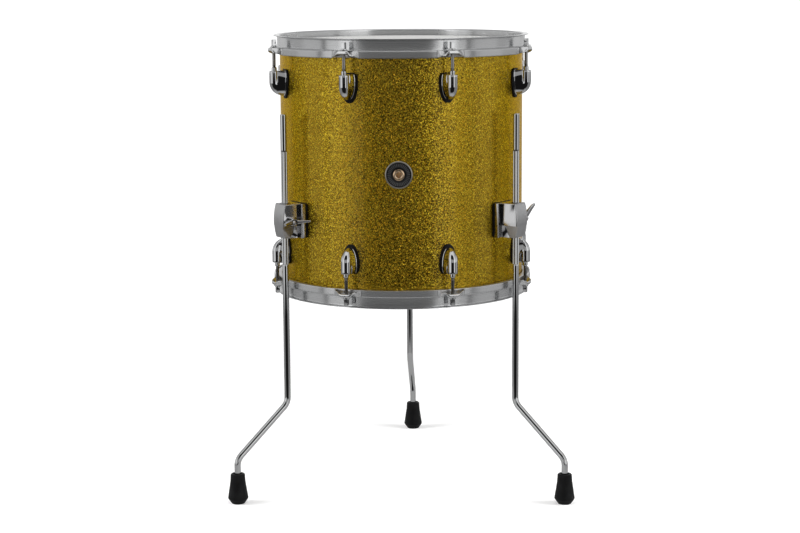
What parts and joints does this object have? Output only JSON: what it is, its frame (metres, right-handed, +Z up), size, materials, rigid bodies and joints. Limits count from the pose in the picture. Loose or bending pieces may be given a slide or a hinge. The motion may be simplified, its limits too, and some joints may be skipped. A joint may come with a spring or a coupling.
{
  "type": "floor tom",
  "caption": "Standing tom drum with a sparkle-wrapped wood shell, flanged steel hoops tensioned by rods into lugs, and bent legs that slide in clamp brackets.",
  "frame": {"origin": "on the floor under the centre of the bounding box", "axes": "+Z up along the drum; -Y is the front, which carries the badge; +X is to the right seen from the front"},
  "size_m": [0.5676, 0.5574, 0.7564],
  "materials": {
    "shell_wood": "satin",
    "sparkle_wrap": "gloss",
    "batter_film": "matte",
    "resonant_film": "gloss",
    "flesh_hoop": "satin",
    "hoop_chrome": "polished",
    "lug_chrome": "polished",
    "rod_chrome": "polished",
    "bracket_chrome": "polished",
    "leg_chrome": "polished",
    "gasket_rubber": "matte",
    "foot_rubber": "matte",
    "badge": "gloss",
    "grommet": "polished"
  },
  "bodies": {
    "drum": {"shell": "shell_wood", "sparkle_wrap": "sparkle_wrap", "badge": "badge", "vent_grommet": "grommet", "batter_film": "batter_film", "batter_flesh_hoop": "flesh_hoop", "resonant_film": "resonant_film", "resonant_flesh_hoop": "flesh_hoop", "top_hoop": "hoop_chrome", "bottom_hoop": "hoop_chrome", "top_lug_1": "lug_chrome", "top_lug_2": "lug_chrome", "top_lug_3": "lug_chrome", "top_lug_4": "lug_chrome", "top_lug_5": "lug_chrome", "top_lug_6": "lug_chrome", "top_lug_7": "lug_chrome", "top_lug_8": "lug_chrome", "bottom_lug_1": "lug_chrome", "bottom_lug_2": "lug_chrome", "bottom_lug_3": "lug_chrome", "bottom_lug_4": "lug_chrome", "bottom_lug_5": "lug_chrome", "bottom_lug_6": "lug_chrome", "bottom_lug_7": "lug_chrome", "bottom_lug_8": "lug_chrome", "left_bracket": "bracket_chrome", "left_bracket_gasket": "gasket_rubber", "right_bracket": "bracket_chrome", "right_bracket_gasket": "gasket_rubber", "back_bracket": "bracket_chrome", "back_bracket_gasket": "gasket_rubber"},
    "left_leg": {"left_leg": "leg_chrome", "left_foot": "foot_rubber"},
    "left_wing_nut": {"left_wing_nut": "bracket_chrome"},
    "left_eye_bolt": {"left_eye_bolt": "bracket_chrome"},
    "right_leg": {"right_leg": "leg_chrome", "right_foot": "foot_rubber"},
    "right_wing_nut": {"right_wing_nut": "bracket_chrome"},
    "right_eye_bolt": {"right_eye_bolt": "bracket_chrome"},
    "back_leg": {"back_leg": "leg_chrome", "back_foot": "foot_rubber"},
    "back_wing_nut": {"back_wing_nut": "bracket_chrome"},
    "back_eye_bolt": {"back_eye_bolt": "bracket_chrome"},
    "top_rod_1": {"top_rod_1": "rod_chrome"},
    "top_rod_2": {"top_rod_2": "rod_chrome"},
    "top_rod_3": {"top_rod_3": "rod_chrome"},
    "top_rod_4": {"top_rod_4": "rod_chrome"},
    "top_rod_5": {"top_rod_5": "rod_chrome"},
    "top_rod_6": {"top_rod_6": "rod_chrome"},
    "top_rod_7": {"top_rod_7": "rod_chrome"},
    "top_rod_8": {"top_rod_8": "rod_chrome"},
    "bottom_rod_1": {"bottom_rod_1": "rod_chrome"},
    "bottom_rod_2": {"bottom_rod_2": "rod_chrome"},
    "bottom_rod_3": {"bottom_rod_3": "rod_chrome"},
    "bottom_rod_4": {"bottom_rod_4": "rod_chrome"},
    "bottom_rod_5": {"bottom_rod_5": "rod_chrome"},
    "bottom_rod_6": {"bottom_rod_6": "rod_chrome"},
    "bottom_rod_7": {"bottom_rod_7": "rod_chrome"},
    "bottom_rod_8": {"bottom_rod_8": "rod_chrome"}
  },
  "joints": [
    {"name": "left_leg_height", "type": "slide", "parent": "drum", "child": "left_leg", "axis": [0, 0, 1], "range_m": [-0.13, 0.24]},
    {"name": "left_wing_turn", "type": "hinge", "parent": "drum", "child": "left_wing_nut", "pos_m": [-0.1879, -0.19082, 0.4599], "axis": [0.5664, -0.8241, 0], "range_deg": [0, 280]},
    {"name": "left_eye_pull", "type": "slide", "parent": "drum", "child": "left_eye_bolt", "axis": [-0.5664, 0.8241, 0], "range_m": [0, 0.0008]},
    {"name": "right_leg_height", "type": "slide", "parent": "drum", "child": "right_leg", "axis": [0, 0, 1], "range_m": [-0.13, 0.24]},
    {"name": "right_wing_turn", "type": "hinge", "parent": "drum", "child": "right_wing_nut", "pos_m": [0.1879, -0.19082, 0.4599], "axis": [0.5664, 0.8241, 0], "range_deg": [0, 280]},
    {"name": "right_eye_pull", "type": "slide", "parent": "drum", "child": "right_eye_bolt", "axis": [-0.5664, -0.8241, 0], "range_m": [0, 0.0008]},
    {"name": "back_leg_height", "type": "slide", "parent": "drum", "child": "back_leg", "axis": [0, 0, 1], "range_m": [-0.13, 0.24]},
    {"name": "back_wing_turn", "type": "hinge", "parent": "drum", "child": "back_wing_nut", "pos_m": [0.00796, 0.16619, 0.4599], "axis": [-0.9994, 0.0349, 0], "range_deg": [0, 280]},
    {"name": "back_eye_pull", "type": "slide", "parent": "drum", "child": "back_eye_bolt", "axis": [0.9994, -0.0349, 0], "range_m": [0, 0.0008]},
    {"name": "top_rod_1_turn", "type": "hinge", "parent": "drum", "child": "top_rod_1", "pos_m": [0.08503, -0.26696, 0.735], "axis": [0, 0, 1], "continuous": true},
    {"name": "top_rod_2_turn", "type": "hinge", "parent": "drum", "child": "top_rod_2", "pos_m": [0.20529, -0.14671, 0.735], "axis": [0, 0, 1], "continuous": true},
    {"name": "top_rod_3_turn", "type": "hinge", "parent": "drum", "child": "top_rod_3", "pos_m": [0.20529, 0.02336, 0.735], "axis": [0, 0, 1], "continuous": true},
    {"name": "top_rod_4_turn", "type": "hinge", "parent": "drum", "child": "top_rod_4", "pos_m": [0.08503, 0.14361, 0.735], "axis": [0, 0, 1], "continuous": true},
    {"name": "top_rod_5_turn", "type": "hinge", "parent": "drum", "child": "top_rod_5", "pos_m": [-0.08503, 0.14361, 0.735], "axis": [0, 0, 1], "continuous": true},
    {"name": "top_rod_6_turn", "type": "hinge", "parent": "drum", "child": "top_rod_6", "pos_m": [-0.20529, 0.02336, 0.735], "axis": [0, 0, 1], "continuous": true},
    {"name": "top_rod_7_turn", "type": "hinge", "parent": "drum", "child": "top_rod_7", "pos_m": [-0.20529, -0.14671, 0.735], "axis": [0, 0, 1], "continuous": true},
    {"name": "top_rod_8_turn", "type": "hinge", "parent": "drum", "child": "top_rod_8", "pos_m": [-0.08503, -0.26696, 0.735], "axis": [0, 0, 1], "continuous": true},
    {"name": "bottom_rod_1_turn", "type": "hinge", "parent": "drum", "child": "bottom_rod_1", "pos_m": [0.08503, -0.26696, 0.35], "axis": [0, 0, -1], "continuous": true},
    {"name": "bottom_rod_2_turn", "type": "hinge", "parent": "drum", "child": "bottom_rod_2", "pos_m": [0.20529, -0.14671, 0.35], "axis": [0, 0, -1], "continuous": true},
    {"name": "bottom_rod_3_turn", "type": "hinge", "parent": "drum", "child": "bottom_rod_3", "pos_m": [0.20529, 0.02336, 0.35], "axis": [0, 0, -1], "continuous": true},
    {"name": "bottom_rod_4_turn", "type": "hinge", "parent": "drum", "child": "bottom_rod_4", "pos_m": [0.08503, 0.14361, 0.35], "axis": [0, 0, -1], "continuous": true},
    {"name": "bottom_rod_5_turn", "type": "hinge", "parent": "drum", "child": "bottom_rod_5", "pos_m": [-0.08503, 0.14361, 0.35], "axis": [0, 0, -1], "continuous": true},
    {"name": "bottom_rod_6_turn", "type": "hinge", "parent": "drum", "child": "bottom_rod_6", "pos_m": [-0.20529, 0.02336, 0.35], "axis": [0, 0, -1], "continuous": true},
    {"name": "bottom_rod_7_turn", "type": "hinge", "parent": "drum", "child": "bottom_rod_7", "pos_m": [-0.20529, -0.14671, 0.35], "axis": [0, 0, -1], "continuous": true},
    {"name": "bottom_rod_8_turn", "type": "hinge", "parent": "drum", "child": "bottom_rod_8", "pos_m": [-0.08503, -0.26696, 0.35], "axis": [0, 0, -1], "continuous": true}
  ],
  "couplings": [
    {"joint": "left_eye_pull", "follows": "left_wing_turn", "m_per_rad": 0.00015915},
    {"joint": "right_eye_pull", "follows": "right_wing_turn", "m_per_rad": 0.00015915},
    {"joint": "back_eye_pull", "follows": "back_wing_turn", "m_per_rad": 0.00015915}
  ]
}
